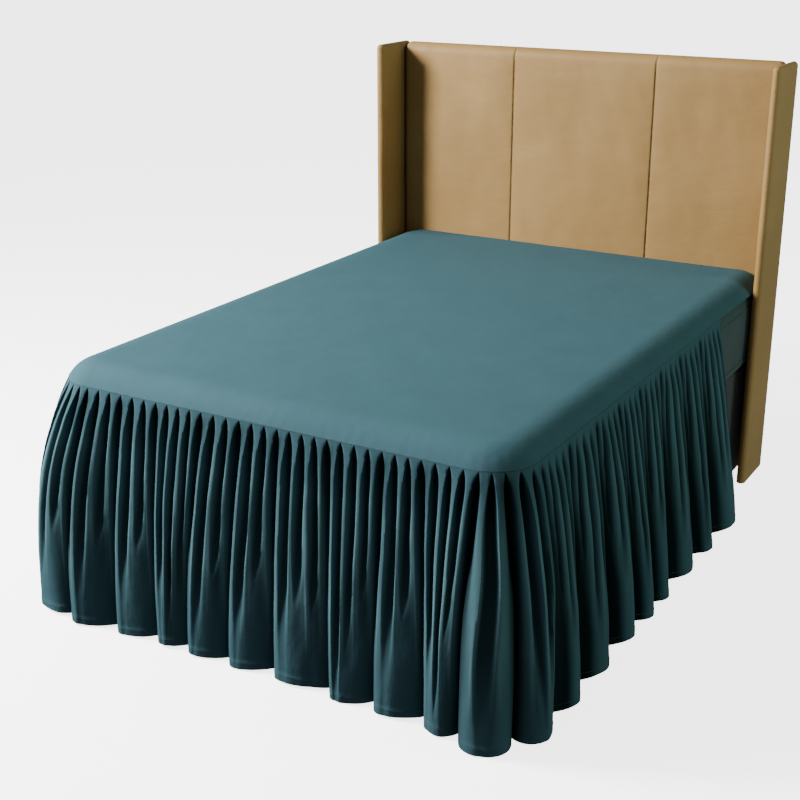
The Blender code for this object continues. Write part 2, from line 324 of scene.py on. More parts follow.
def paint_teal(name, colour, painted_shade, painted_highlight):
    """Brushed weave, painted shade in folds, painted highlight on ridges."""
    paint = Paint(name)
    cloth = paint.node("ShaderNodeUVMap", {"uv_map": "cloth"})
    warp, weft = (paint.node("ShaderNodeTexWave", {"bands_direction": axis},
                             {"Vector": cloth, "Distortion": 1.2,
                              "Scale": WAVE_BAND / THREAD_PITCH,
                              "Detail": 1.0}, out=1) for axis in "XY")
    slub = paint.noise(paint.stretched(cloth, (900.0, 40.0, 1.0)), 1.0)
    cross = paint.noise(paint.stretched(cloth, (40.0, 900.0, 1.0)), 1.0)
    nap = paint.noise(cloth, 7.0, 4.0, 0.6)
    crumple = paint.noise(cloth, 28.0, 3.0)
    threads = warp * 0.5 + weft * 0.5
    # The fold attribute mixes in painted shade, the ridge attribute a painted
    # highlight.
    shaded = paint.mix(paint.written("fold"), colour, painted_shade)
    cloth_with_painted_light = paint.mix(paint.written("ridge"), shaded, painted_highlight)
    tone = 0.80 + nap * 0.24 + threads * 0.10 + slub * 0.08
    relief = threads * 0.35 + slub * 0.35 + cross * 0.30
    rough = 0.68 + nap * 0.16 + threads * 0.06
    soft = paint.bump(crumple, 0.0016, 0.8)
    woven = paint.bump(relief, 0.00025, 0.55, under=soft)
    return paint.finish(Base_Color=paint.shade(cloth_with_painted_light, tone), Roughness=rough,
                        Normal=woven, Sheen_Weight=0.025,
                        Sheen_Roughness=0.45, Sheen_Tint=(0.45, 0.85, 0.86),
                        Specular_IOR_Level=0.04)


teal_cloth = paint_teal("teal_cloth", TEAL, TEAL_PAINTED_SHADE, TEAL_PAINTED_HIGHLIGHT)
print("teal cloth:", len(teal_cloth.node_tree.nodes), "nodes")

# %% [markdown]
# ## Thread, covers and leather
# Sewing thread is round and slightly glossy. The mattress cover is a teal
# weave, its colour set very dark as painted shade. The base has a plain black
# one. The headboard is tan synthetic leather: a fine pebble grain, satin
# gloss, warmer and darker in its creases, where the darkness is painted shade.

# %% Other materials


def paint_thread(name, colour):
    """Twisted thread, lighter and darker along its twist."""
    paint = Paint(name)
    twist = paint.noise(paint.place(), 2500.0, 1.0)
    tone = paint.shade(colour, 0.75 + twist * 0.5)
    return paint.finish(Base_Color=tone, Roughness=0.45 + twist * 0.2,
                        Normal=paint.bump(twist, 0.0001, 0.5),
                        Sheen_Weight=0.2)


def paint_cover(name, colour, pitch):
    """Coarse cover cloth with threads of the given pitch and faint streaks."""
    paint = Paint(name)
    place = paint.place()
    threads = paint.noise(place, 1.0 / pitch, 1.0)
    nap = paint.noise(place, 9.0, 4.0)
    streak = paint.noise(paint.stretched(place, (30.0, 30.0, 700.0)), 1.0)
    tone = 0.74 + nap * 0.3 + threads * 0.14 + streak * 0.10
    soft = paint.bump(nap, 0.0030, 0.5)
    woven = paint.bump(threads + streak, 0.0003, 0.5, under=soft)
    return paint.finish(Base_Color=paint.shade(colour, tone), Normal=woven,
                        Roughness=0.78 + threads * 0.15, Sheen_Weight=0.2,
                        Specular_IOR_Level=0.2)


def paint_leather(name, colour, worn):
    """Pebbled leather with soft wrinkles, duller in creases, painted shade
    there.
    """
    paint = Paint(name)
    place = paint.place()
    crease = paint.written("crease")
    drift = paint.noise(place, 90.0, 2.0)
    cells = paint.node("ShaderNodeTexVoronoi", {"feature": "SMOOTH_F1"},
                       {"Vector": place, "Scale": 620.0, "Smoothness": 0.6})
    cloud = paint.noise(place, 3.2, 4.0, 0.6)
    grain = cells * 0.7 + drift * 0.3
    base = paint.mix(cloud.step(0.35, 0.75), colour, worn)
    # Painted shade: the crease attribute darkens the leather in seams and
    # corners.
    tone = (1.06 - crease * 0.40) * (0.94 + grain * 0.12)
    rough = 0.50 + grain * 0.12 + cloud * 0.08 + crease * 0.15
    wrinkle = paint.noise(paint.stretched(place, (14.0, 14.0, 26.0)), 1.0, 4.0)
    soft = paint.bump(wrinkle, 0.0030, 0.45)
    pebbled = paint.bump(grain, 0.00035, 0.7, under=soft)
    return paint.finish(Base_Color=paint.shade(base, tone), Roughness=rough,
                        Normal=pebbled, Specular_IOR_Level=0.28)


teal_thread = paint_thread("teal_thread", (0.031, 0.073, 0.087))
tan_thread = paint_thread("tan_thread", (0.28, 0.168, 0.062))
# Painted shade: the mattress cover's colour is set very dark.
mattress_cover = paint_cover("mattress_cover", (0.006, 0.030, 0.028), 0.0012)
base_cover = paint_cover("base_cover", (0.022, 0.022, 0.024), 0.0010)
tan_leather = paint_leather("tan_leather", (0.238, 0.139, 0.042),
                            (0.266, 0.160, 0.053))
print("materials:", ", ".join(sorted(m.name for m in bpy.data.materials)))

# %% [markdown]
# ## Studio
# One soft light comes steeply from the upper left, along the foot rather than
# at it, so the ridges and the left edges of the folds are bright and the
# valleys and the right side lie in shade. A nearer light makes the top's near
# corner brightest. A weak light from behind on the right and a weak even sky
# keep the shade open. The floor is seen but sends no light into the folds.

# %% Floor, lights and sky
FLOOR_HALF = 90.0

paint = Paint("floor_pale")
cloud = paint.noise(paint.place(), 0.8, 3.0)
floor_pale = paint.finish(
    Base_Color=paint.mix(cloud, (0.84, 0.84, 0.84), (0.88, 0.88, 0.88)),
    Roughness=0.85 + cloud * 0.05, Emission_Color=(1.0, 1.0, 1.0),
    Emission_Strength=3.4)
floor = new_object("floor", [
    (x * FLOOR_HALF, y * FLOOR_HALF, 0.0)
    for x, y in ((-1, -1), (1, -1), (1, 1), (-1, 1))], [(0, 1, 2, 3)])
floor.data.materials.append(floor_pale)
floor.visible_diffuse = False
floor.visible_glossy = False


def add_light(name, kind, place, aim, power, **sizes):
    """A light at a place, turned to face its aim."""
    data = bpy.data.lights.new(name, kind)
    data.energy = power
    for key, value in sizes.items():
        setattr(data, key, value)
    light = add_object(name, data)
    light.location = place
    direction = Vector(aim) - Vector(place)
    light.rotation_euler = direction.to_track_quat("-Z", "Y").to_euler()


add_light("key", "SUN", (-7.0, -2.9, 5.4), (0.0, 0.0, 0.0), 2.2,
          angle=math.radians(14.0))
add_light("near", "AREA", (-3.0, -1.9, 2.7), (-0.2, -0.6, 0.5), 565.0,
          shape="DISK", size=1.3)
add_light("fill", "AREA", (4.6, 1.0, 2.3), (0.5, 0.0, 0.5), 108.0,
          shape="DISK", size=2.4, color=(0.76, 1.0, 0.80))
world = bpy.data.worlds.new("sky")
bpy.context.scene.world = world
world.use_nodes = True
sky = world.node_tree.nodes["Background"]
sky.inputs["Color"].default_value = (0.93, 0.96, 1.0, 1.0)
sky.inputs["Strength"].default_value = 0.27

# %% [markdown]
# ## Shells from rows of points
# Every cloth here is a grid of points, row under row. One helper turns the
# grid into faces, writes the cloth's own coordinates as a UV map and the
# painted fold shade as an attribute, and gives the sheet its thickness behind
# its face.

# %% Grid cloth


def grid_faces(rows, columns, first=0):
    """Quads between neighbours of a grid whose rows run downwards."""
    start = first + np.arange(rows - 1)[:, None] * columns
    start = (start + np.arange(columns - 1)).ravel()
    return np.stack((start, start + columns, start + columns + 1, start + 1),
                    axis=1).tolist()


def grid_rim(rows, columns):
    """A grid's first row, last row, first column and last column."""
    left = [row * columns for row in range(rows)]
    right = [index + columns - 1 for index in left]
    return (list(range(columns)), list(range(left[-1], right[-1] + 1)),
            left, right)


def add_values(made, name, values):
    """A number at each point of the mesh."""
    attribute = made.data.attributes.new(name, "FLOAT", "POINT")
    attribute.data.foreach_set("value", np.asarray(values, np.float32).ravel())


def add_cloth_map(made, flat):
    """The cloth's own coordinates, in metres, at each corner of each face."""
    layer = made.data.uv_layers.new(name="cloth")
    index = np.empty(len(made.data.loops), int)
    made.data.loops.foreach_get("vertex_index", index)
    layer.data.foreach_set("uv", flat[index].astype(np.float32).ravel())


print("grid of 3 by 3 points has", len(grid_faces(3, 3)), "faces")

# %% Finishing a mesh


def smooth(made, angle=math.radians(60.0)):
    """Rounded shading, with edges sharper than the angle kept crisp."""
    made.data.shade_smooth()
    made.data.set_sharp_from_angle(angle=angle)


def rework(made, change):
    """Applies one bmesh operation to the object's mesh."""
    mesh = bmesh.new()
    mesh.from_mesh(made.data)
    change(mesh)
    mesh.to_mesh(made.data)
    mesh.free()


def make_plain(made, modifier, keep=False):
    """The modified shape becomes the object's own plain mesh."""
    graph = bpy.context.evaluated_depsgraph_get()
    plain = bpy.data.meshes.new_from_object(made.evaluated_get(graph),
                                            preserve_all_data_layers=keep,
                                            depsgraph=graph)
    made.modifiers.remove(modifier)
    made.data = plain


def thicken(made, thickness):
    """A wall behind the face, made plain mesh so that its rim stays crisp."""
    wall = made.modifiers.new("cloth", "SOLIDIFY")
    wall.thickness = thickness
    wall.offset = -1.0
    wall.use_even_offset = False
    make_plain(made, wall, keep=True)
    smooth(made)


def dress(made, node=None, material=None):
    """The piece rides on the bed, stands for its solid and has its finish."""
    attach(made, "root")
    if node:
        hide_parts(node)
        made.data.materials.append(material)


# %% [markdown]
# ## Where the folds lie
# The gathers are laid out by a table: one row for each large fold, with the
# place of its first valley at the seam and at the hem, how many gathers run
# into it, how deep it is and how it leans.

# %% Fold tables
# place on the seam line, flare of the hem, how early it is reached
FLARE = ((-2.31, 0.090, 1.60), (-0.90, 0.082, 1.90), (-0.66, 0.126, 2.70),
         (-0.45, 0.091, 2.00), (0.00, 0.082, 1.60), (0.50, 0.085, 1.70),
         (0.64, 0.142, 2.60), (0.74, 0.108, 2.00), (0.90, 0.090, 1.50),
         (1.50, 0.096, 1.25), (2.31, 0.108, 1.15))
# seam place, hem place, gathers, depth, lean
FOOT_FOLDS = (
    (-0.774, -0.790, 4, 0.060, 0.80), (-0.665, -0.690, 4, 0.072, 0.66),
    (-0.556, -0.590, 3, 0.070, 0.58), (-0.444, -0.450, 3, 0.074, 0.50),
    (-0.327, -0.312, 4, 0.064, 0.58), (-0.182, -0.212, 3, 0.066, 0.50),
    (-0.064, -0.084, 3, 0.072, 0.50), (0.050, 0.057, 4, 0.076, 0.52),
    (0.195, 0.227, 4, 0.070, 0.50), (0.348, 0.355, 3, 0.074, 0.52),
    (0.453, 0.497, 4, 0.068, 0.58), (0.600, 0.588, 2, 0.090, 0.66),
    (0.660, 0.668, 3, 0.080, 1.10), (0.774, 0.755, 0, 0.070, 0.80))
RIGHT_FOLDS = (
    (0.774, 0.755, 4, 0.072, 1.60), (0.935, 0.910, 4, 0.076, 1.40),
    (1.104, 1.110, 4, 0.080, 1.60), (1.252, 1.290, 4, 0.068, 1.40),
    (1.403, 1.410, 4, 0.064, 1.60), (1.565, 1.535, 4, 0.078, 1.40),
    (1.720, 1.765, 4, 0.070, 1.60), (1.900, 1.915, 5, 0.070, 1.40),
    (SKIRT_END, SKIRT_END_HEM, 0, 0.060, 1.00))
LEFT_FOLDS = (
    (-SKIRT_END, -SKIRT_END_HEM, 4, 0.060, 1.0),
    (-1.940, -1.975, 4, 0.056, 0.9), (-1.775, -1.800, 5, 0.064, 1.1),
    (-1.595, -1.610, 3, 0.054, 0.9), (-1.475, -1.480, 4, 0.062, 0.8),
    (-1.310, -1.335, 4, 0.060, 1.0), (-1.150, -1.160, 4, 0.056, 0.9),
    (-0.990, -0.985, 5, 0.062, 1.0), (-0.774, -0.790, 0, 0.060, 1.0))
# folds, number of the first gather, seed
SKIRTS = {"foot": (FOOT_FOLDS, 0, 11), "right": (RIGHT_FOLDS, 50, 21),
          "left": (LEFT_FOLDS, 100, 31)}
for side, (table, first, seed) in SKIRTS.items():
    print(side, "skirt:", len(table) - 1, "folds,",
          sum(row[2] for row in table), "gathers")

# %% [markdown]
# ## How a gather falls
# A gathered cloth leaves its seam as narrow ridges between spear-shaped
# valleys. Lower down the ridges run together, and the cloth hangs in a few
# wide lobes. The depth of each lobe and valley and the height at which it
# fades are uneven, as in hand-gathered cloth. Points crowd into the valleys.

# %% Columns of a skirt width
COLUMNS = 14  # points across a gather
CROWDED = 0.36  # share of them in each half valley


def fold_columns(table, first_gather):
    """Arrays, one value for each upright column of a skirt width."""
    found = []
    gather = first_gather
    for row, after in zip(table, table[1:]):
        last = after is table[-1]
        for step in range(row[2] * COLUMNS + (1 if last else 0)):
            found.append((*row, *after, gather, step / COLUMNS))
        gather += row[2]
    names = ("seam", "hem", "gathers", "depth", "lean", "seam_end", "hem_end",
             "_", "depth_end", "lean_end", "first", "step")
    return dict(zip(names, np.array(found).T))


def valley_width(index, drop):
    """Half a valley's width as a share of its gather: a spear at the seam."""
    widest = blend(0.32, 0.40, uneven(index, 0.71))
    return widest * (1.0 - np.exp(-drop / 0.028)) + 0.025


def place_columns(column, drop):
    """Columns crowd into the valleys, so that their tips stay crisp."""
    whole = np.floor(column["step"] + 1e-9)
    phase = column["step"] - whole
    index = column["first"] + whole
    left = valley_width(index, drop)
    right = valley_width(index + 1.0, drop)
    ridge = (phase - CROWDED) / (1.0 - 2 * CROWDED)
    phase = np.where(phase < CROWDED, phase / CROWDED * left, np.where(
        phase > 1.0 - CROWDED, 1.0 - (1.0 - phase) / CROWDED * right,
        left + ridge * (1.0 - left - right)))
    return index, phase, (whole + phase) / column["gathers"]


print("foot skirt:", len(fold_columns(FOOT_FOLDS, 0)["seam"]), "columns")

# %% Depth of the folds
GATHER_DEPTH = 0.038  # deepest a gather's valley gets
FADE_EARLY, FADE_LATE = 0.74, 1.08  # shares of the drop where gathers end


def flare_share(place, down):
    """The hem's flare at a place, and the share of it reached so far down."""
    places, flares, early = np.array(FLARE).T
    slot = np.clip(np.searchsorted(places, place) - 1, 0, len(places) - 2)
    share = ease(places[slot], places[slot + 1], place)
    flare = blend(flares[slot], flares[slot + 1], share)
    early = blend(early[slot], early[slot + 1], share)
    return flare, 1.0 - (1.0 - down) ** early


def fold_valley(column, across, down, soft):
    """Depth of a large fold, which is sharp at the seam and round below."""
    sharp = blend(0.12, blend(0.55, 0.70, soft), ease(0.0, 0.9, down))
    leaning = across ** blend(column["lean"], column["lean_end"], across)
    lobe = (4.0 * leaning * (1.0 - leaning)).clip(0.0, 1.0) ** sharp
    growth = ease(0.0, 0.22, down) * blend(0.45, 1.0, down)
    depth = blend(column["depth"], column["depth_end"], across)
    return depth * growth * (1.0 - lobe)


def gather_valley(index, phase, drop, down, soft):
    """Depth of the small gathers, how far up a ridge a point is, and shade.

    Where soft blends two numbers, they are for the foot and for the sides.
    """
    nearest = index + (phase >= 0.5)
    distance = np.minimum(phase, 1.0 - phase) / valley_width(nearest, drop)
    fade_end = blend(FADE_EARLY, FADE_LATE, uneven(nearest))
    rise = ease(0.0, blend(0.085, 0.16, soft), down)
    fade = blend(1.0, 0.04, ease(0.25, 1.0, down / fade_end))
    depth = GATHER_DEPTH * blend(0.78 - 0.40 * soft, 1.08 - 0.15 * soft,
                                 uneven(nearest, 0.37))
    inside = (1.0 - distance).clip(0.0, 1.0)
    profile = ease(0.0, blend(0.72, 1.0, soft), inside)
    crown = (1.0 - inside) * np.sin(math.pi * phase) ** 2
    shade = ease(0.0, blend(0.45, 0.80, soft), inside)
    shade = shade * ease(0.0, blend(0.006, 0.10, soft), down)
    shade = shade * (1.0 - ease(0.60, 1.02, down / fade_end))
    return depth * rise * fade * profile, crown * fade, shade


print("hem flare at the corner:", flare_share(SIDE_START, 1.0)[0].round(3))

# %% [markdown]
# ## Skirt widths
# A skirt width is a grid: the columns follow the gathers and the rows lie
# closer together near the seam, where the cloth turns quickest. The top rows
# are the seam allowance, which lies behind the top panel's edge, and a small
# step near the bottom is the turned-up hem. Each point also gets two painted
# tones: painted shade, darkest deep in the folds, and a painted highlight
# high on a ridge.

# %% Grid of a skirt width
SKIRT_ROWS = 58
SIDE_SOFT = (0.66, 0.82)  # places where gathers turn softer
FOLD_FULL = 0.07  # depth of a full large fold
HEM_LIFT, HEM_WAVE, HEM_WAVE_LENGTH = 0.003, 0.006, 0.37
HEM_FOLD = 0.022  # height of the turned-up hem
HEM_PLY = 0.0006  # how far its extra layer stands out
RIDGE_CROWN = 0.0040  # how round a ridge is
CREASE = 0.0016  # small uneven creases
SWAY = 0.005  # sideways stray of a ridge line
VALLEY_REACH = -0.004  # how far in the valleys may hang


def skirt_rows():
    """How far below the seam each row of a skirt lies."""
    share = np.linspace(0.0, 1.0, SKIRT_ROWS) ** 1.7
    hem = SEAM_HEIGHT - np.array((HEM_FOLD + 0.0012, HEM_FOLD - 0.0002,
                                  HEM_FOLD - 0.002, 0.010, 0.0))
    return np.concatenate((0.0008 + share * (SEAM_HEIGHT - 0.034), hem))


def painted_fold_light(border, down, large, crown, shade, soft):
    """Painted shade deep in the folds, and painted highlight up a ridge.

    The painted shade lies in a channel, a gather's valley, a recess, the
    hollow of a large fold, and a wedge, the narrow gap between two folds;
    border gathers away from it.
    """
    channel = blend(1.0, 0.50, ease(0.0, 0.26, down))
    channel = shade * blend(channel, 0.90, soft)
    recess = ease(0.25, 1.1, large / FOLD_FULL) * 0.65
    recess = blend(recess, ease(0.0, 0.34, large / FOLD_FULL), soft)
    widening = blend(0.30, 1.00, ease(0.0, 0.45, down))
    reach_out = blend(blend(0.42, 0.24, down), widening, soft)
    wedge = np.exp(-(border / reach_out) ** 2) * ease(0.0, 0.05, down)
    # The darkest of the three is the painted shade; the paler tone after it is
    # a painted highlight.
    tone = np.maximum(np.maximum(channel, recess), wedge)
    lit = ease(0.02, 0.25, down) * (1.0 - ease(0.72, 0.97, down))
    painted_highlight = np.clip(crown * 2.2, 0.0, 1.0) * lit * (1.0 - tone) ** 2
    return np.stack((tone, painted_highlight * (1.0 - 0.5 * soft)), axis=-1)


def skirt_grid(table, first_gather, seed):
    """Points of a skirt width, their outward directions, painted shade and
    highlight.
    """
    column = fold_columns(table, first_gather)
    drop = skirt_rows()[:, None]
    down = drop / SEAM_HEIGHT
    index, phase, across = place_columns(column, drop)
    seam = blend(column["seam"], column["seam_end"], across)
    hem = blend(column["hem"], column["hem_end"], across)
    inside = 4.0 * across * (1.0 - across)
    sway = soft_noise(index + phase, down * 3.0, 1.0, seed)
    place = blend(seam, hem, flare_share(hem, down)[1])
    place = place + SWAY * sway * inside * ease(0.0, 0.4, down)
    soft = ease(*SIDE_SOFT, place)
    small, crown, shade = gather_valley(index, phase, drop, down, soft)
    large = fold_valley(column, across, down, soft)
    flare, share = flare_share(place, down)
    body = ease(0.01, 0.16, down)
    creases = soft_noise(place, drop * 0.35, 0.021, seed + 1)
    waves = soft_noise(place, drop * 0.5, 0.05, seed + 2)
    reach = flare * share - np.maximum(small, large)
    reach = reach + RIDGE_CROWN * crown * body
    reach = reach + CREASE * body * (0.5 * creases + 0.9 * waves)
    reach = reach + HEM_PLY * (drop > SEAM_HEIGHT - HEM_FOLD)
    reach = np.maximum(np.maximum(-0.6 * drop, VALLEY_REACH), reach)
    swell = np.sin(2.0 * math.pi * place / HEM_WAVE_LENGTH)
    lift = HEM_LIFT + HEM_WAVE * (0.5 + 0.5 * swell)
    point, out = seam_line(place)
    points = point + out * reach[..., None]
    points[..., 2] = SEAM_HEIGHT - drop * (1.0 - lift / SEAM_HEIGHT)
    border = np.minimum(across, 1.0 - across) * column["gathers"]
    return points, out, painted_fold_light(border, down, large, crown, shade, soft)


print("rows of a skirt:", len(skirt_rows()))

# %% Build the skirt widths
ALLOWANCE = (0.014, 0.007, 0.001)  # rows of cloth above the seam
ALLOWANCE_BEHIND = 0.0028  # behind the top panel's face


def add_allowance(points, out, tone):
    """The rows of cloth that lie behind the top panel's edge."""
    sine, cosine = math.sin(EDGE_TURN), math.cos(EDGE_TURN)
    rows = []
    for up in ALLOWANCE:
        inward = out[0] * (-up * cosine - ALLOWANCE_BEHIND * sine)
        inward[..., 2] = up * sine - ALLOWANCE_BEHIND * cosine
        rows.append(points[0] + inward)
    return (np.concatenate((np.array(rows), points)),
            np.concatenate((np.repeat(tone[:1], len(rows), 0), tone)))


def cloth_coordinates(points):
    """Metres of cloth across and down, from the distances between points."""
    across = np.linalg.norm(np.diff(points, axis=1), axis=2)
    widest = np.concatenate(([0.0], np.cumsum(across[len(points) // 2])))
    below = np.linalg.norm(np.diff(points, axis=0), axis=2).mean(axis=1)
    height = np.concatenate(([0.0], np.cumsum(below)))
    u, v = np.meshgrid(widest, -height)
    return np.stack((u, v), axis=-1).reshape(-1, 2), across.sum(axis=1)


def build_skirt(name, table, first_gather, seed):
    """The piece, its points below the seam and its mean width."""
    points, out, tone = skirt_grid(table, first_gather, seed)
    points, tone = add_allowance(points, out, tone)
    for end, inner in ((0, 1), (-1, -2)):
        step = points[:, inner] - points[:, end]
        step /= np.linalg.norm(step, axis=1)[:, None]
        points[:, end] += step * GAP
    made = new_object(name, points.reshape(-1, 3),
                      grid_faces(*points.shape[:2]))
    flat, widths = cloth_coordinates(points)
    add_cloth_map(made, flat)
    # Painted shade and painted highlight, written as two attributes.
    add_values(made, "fold", tone[..., 0])
    add_values(made, "ridge", tone[..., 1])
    thicken(made, CLOTH)
    measure(made)
    print("folded width", widths.min().round(2), "to", widths.max().round(2))
    return made, points[len(ALLOWANCE):], float(widths.mean())


skirts = {}
for side, row in SKIRTS.items():
    skirts[side] = build_skirt("cloth_skirt_" + side, *row)
    dress(skirts[side][0], "skirt_" + side, teal_cloth)

# %% [markdown]
# ## Top panel
# The top is one smooth cloth. A regular grid covers its flat part, and a band
# follows the seam line round the edge. Its shape is that of the mattress edge
# below it, with faint puckers above each gather, since gathering pulls on the
# cloth it is sewn to, and very slight waves on the flat.

# %% Points of the top panel
TOP_CELL = 0.0125  # grid spacing of the flat part
BAND_ROWS = 15
BAND_SLACK = 0.1  # inset over which the turn is eased
GATHER_PITCH = 0.0369
PUCKER = 0.0006  # height of a pucker
PUCKER_REACH = 0.055  # how far in from the seam they go


def top_height(x, y):
    """Slight waves of the cloth on the mattress."""
    wave = soft_noise(x + 0.3 * y, y * 0.6, 0.34, 5) * 0.0016
    fine = soft_noise(x * 0.8 - y, y + x, 0.11, 6) * 0.0004
    return wave + fine


def band_point(place, inset):
    """A point of the band, inset metres inside the seam line."""
    gathers = place / GATHER_PITCH
    point, out = seam_line(place)
    bend = EDGE_RADIUS * math.sin(EDGE_TURN)
    turn = np.arcsin(np.clip((bend - inset) / EDGE_RADIUS, 0.0, 1.0))
    z = TOP_HEIGHT - EDGE_RADIUS * (1.0 - np.cos(turn))
    near = np.clip(1.0 - inset / PUCKER_REACH, 0.0, 1.0) ** 2
    ripple = np.cos(2.0 * math.pi * gathers) * near * PUCKER
    ripple = ripple * np.clip(inset / 0.004, 0.0, 1.0)
    points = point - out * (inset + ripple * np.sin(turn))[..., None]
    flat = ease(0.06, 0.12, inset)
    points[..., 2] = (z - ripple * np.cos(turn)
                      + flat * top_height(points[..., 0], points[..., 1]))
    return points


def top_lines():
    """Lines of the flat grid across and along, and places on the seam."""
    start = SEAM_Y + SEAM_CORNER
    columns = int(round(2 * SEAM_STRAIGHT / TOP_CELL))
    rows = int(round((HEAD_Y - start) / TOP_CELL))
    xs = np.linspace(-SEAM_STRAIGHT, SEAM_STRAIGHT, columns + 1)
    ys = np.linspace(start, HEAD_Y, rows + 1)
    arc = np.linspace(SEAM_STRAIGHT, SIDE_START, 22)[1:-1]
    half = np.concatenate((arc, SIDE_START + (ys - ys[0])))
    return xs, ys, np.concatenate((-half[::-1], xs, half))


print("top panel grid:", [len(line) for line in top_lines()])

# %% Build the top panel


def build_top():
    """The flat grid and the band round it, sewn into one mesh."""
    xs, ys, places = top_lines()
    x, y = np.meshgrid(xs, ys)
    inner = np.stack((x, y, TOP_HEIGHT + top_height(x, y)), axis=-1)
    share = np.linspace(0.0, 1.0, BAND_ROWS)
    insets = SEAM_CORNER * (1.0 - share ** 0.9)[:, None]
    band = band_point(places[None, :], insets)
    size = len(ys) * len(xs)
    faces = [f[::-1] for f in grid_faces(len(ys), len(xs))]
    faces += grid_faces(BAND_ROWS, len(places), size)
    made = new_object("cloth_top", np.concatenate(
        (inner.reshape(-1, 3), band.reshape(-1, 3))), faces)
    point, out = seam_line(places[None, :])
    slack = EDGE_RADIUS * (EDGE_TURN - math.sin(EDGE_TURN))
    spread = slack * (1.0 - insets / BAND_SLACK).clip(0.0)
    flat_band = (point - out * (insets - spread)[..., None])[..., :2]
    flat = np.concatenate((inner[..., :2].reshape(-1, 2),
                           flat_band.reshape(-1, 2)))
    add_cloth_map(made, flat)
    # Painted highlight: the cloth is made paler along its rounded edge.
    edge = 0.12 * ease(0.12, 0.03, insets + 0.0 * places)
    edge = np.concatenate((np.zeros(size), edge.ravel()))
    add_values(made, "ridge", edge)
    add_values(made, "fold", 0.0 * edge)
    rework(made, lambda mesh: bmesh.ops.remove_doubles(
        mesh, verts=mesh.verts, dist=0.0002))
    thicken(made, CLOTH)
    measure(made)
    return made


cloth_top = build_top()
dress(cloth_top, "top_panel", teal_cloth)

# %% [markdown]
# ## Mattress
# A mattress is a firm block with softened edges, bordered by two corded tape
# edges. The cloth hides most of it, so it is lofted: one outline in plan,
# moved in and out as it rises. The head end stays flat against the board.

# %% Outline of the mattress
MATTRESS_TOP = TOP_HEIGHT - CAD_CLOTH - GAP
MATTRESS_SWELL = 0.0015  # how far its sides bulge


def mattress_outline():
    """Plan points and outward directions, from head corner to head corner."""
    straight = BED_WIDTH / 2 - MATTRESS_CORNER
    corner_y = -BED_LENGTH / 2 + MATTRESS_CORNER
    turns = np.linspace(0.0, math.pi / 2, 11)
    foot = np.linspace(-straight, straight, 60)[1:-1]
    side = np.linspace(BED_LENGTH / 2, corner_y, 80)[:-1]
    flat, sine, cosine = 0.0 * side, np.sin(turns), np.cos(turns)
    left = np.stack((flat - BED_WIDTH / 2, side, flat - 1.0, flat), 1)
    first = np.stack((-straight - MATTRESS_CORNER * cosine,
                      corner_y - MATTRESS_CORNER * sine, -cosine, -sine), 1)
    flat = 0.0 * foot
    front = np.stack((foot, flat - BED_LENGTH / 2, flat, flat - 1.0), 1)
    mirror = np.array((-1.0, 1.0, -1.0, 1.0))
    line = np.concatenate((left, first, front, first[::-1] * mirror,
                           left[::-1] * mirror))
    zero = np.zeros((len(line), 1))
    return (np.hstack((line[:, :2], zero)), np.hstack((line[:, 2:], zero)))


def mattress_profile():
    """Outset and height of each row, from the top rim down to the bottom."""
    turns = np.linspace(0.0, math.pi / 2, 10)
    top = [(-MATTRESS_EDGE * (1 - math.sin(t)),
            MATTRESS_TOP - MATTRESS_EDGE * (1 - math.cos(t))) for t in turns]
    low = MATTRESS_BOTTOM + MATTRESS_LOWER_EDGE
    high = MATTRESS_TOP - MATTRESS_EDGE
    side = [(MATTRESS_SWELL * math.sin(math.pi * s) ** 0.7,
             blend(high, low, s)) for s in np.linspace(0, 1, 16)[1:-1]]
    bottom = [(-MATTRESS_LOWER_EDGE * (1 - math.cos(t)),
               low - MATTRESS_LOWER_EDGE * math.sin(t))
              for t in np.linspace(0.0, math.pi / 2, 6)]
    return np.array(top + side + bottom)


print("mattress outline:", len(mattress_outline()[0]), "points")

# %% Build the mattress


def build_mattress():
    """The outline lofted down its profile and closed at its ends."""
    point, out = mattress_outline()
    outset, height = mattress_profile().T
    points = point + out * outset[:, None, None]
    points[..., 2] = height[:, None]
    dent = soft_noise(points[..., 1] * 3, points[..., 2] * 6, 0.35, 8) * 0.0012
    inner = ease(0.0, 0.2, BED_LENGTH / 2 - points[..., 1])
    points = points + out * (dent * inner)[..., None]
    top, bottom, left, right = grid_rim(*points.shape[:2])
    made = new_object("mattress_body", points.reshape(-1, 3),
                      grid_faces(*points.shape[:2])
                      + [top, bottom[::-1], right + left[::-1]])
    smooth(made, math.radians(50.0))
    measure(made)
    return made


mattress = build_mattress()
dress(mattress, "mattress", mattress_cover)
base_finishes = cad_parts["bed_base"].data.materials
base_finishes.clear()
base_finishes.append(base_cover)

# %% [markdown]
# ## Headboard
# The headboard is an upholstered board between two upholstered wings. Padding
# makes each section swell between its seams, and the leather puckers a little
# beside them. Each board is a closed shell: a loop that goes up the front,
# over the rounded top and down the back, repeated across the board's width.

# %% Shape of a padded board
GROOVE = 0.0028  # depth and half width of a sewn seam
FRONT_STEPS = 110  # rows of points up a board's front


def section_puff(u, low, high, seams):
    """Swell between seams, crease at them, and distance from the nearest."""
    lines = np.array([low, *seams, high])
    slot = np.clip(np.searchsorted(lines, u, side="right") - 1, 0,
                   len(lines) - 2)
    share = (u - lines[slot]) / (lines[slot + 1] - lines[slot])
    near = np.abs(u[..., None] - np.array(seams)).min(axis=-1, initial=99.0)
    return (1.0 - np.abs(2.0 * share - 1.0) ** 6,
            np.exp(-(near / GROOVE) ** 2), near)


def board_loop(height, half):
    """Thickness share (-1 front, 1 back) and height, once round the board."""
    start = height - half
    front = [(-1.0, z) for z in np.linspace(0.0, start, FRONT_STEPS)]
    top = [(-math.cos(t), start + half * math.sin(t))
           for t in np.linspace(0.0, math.pi, 14)[1:-1]]
    back = [(1.0, z) for z in np.linspace(start, 0.0, 24)]
    return np.array(front + top + back)


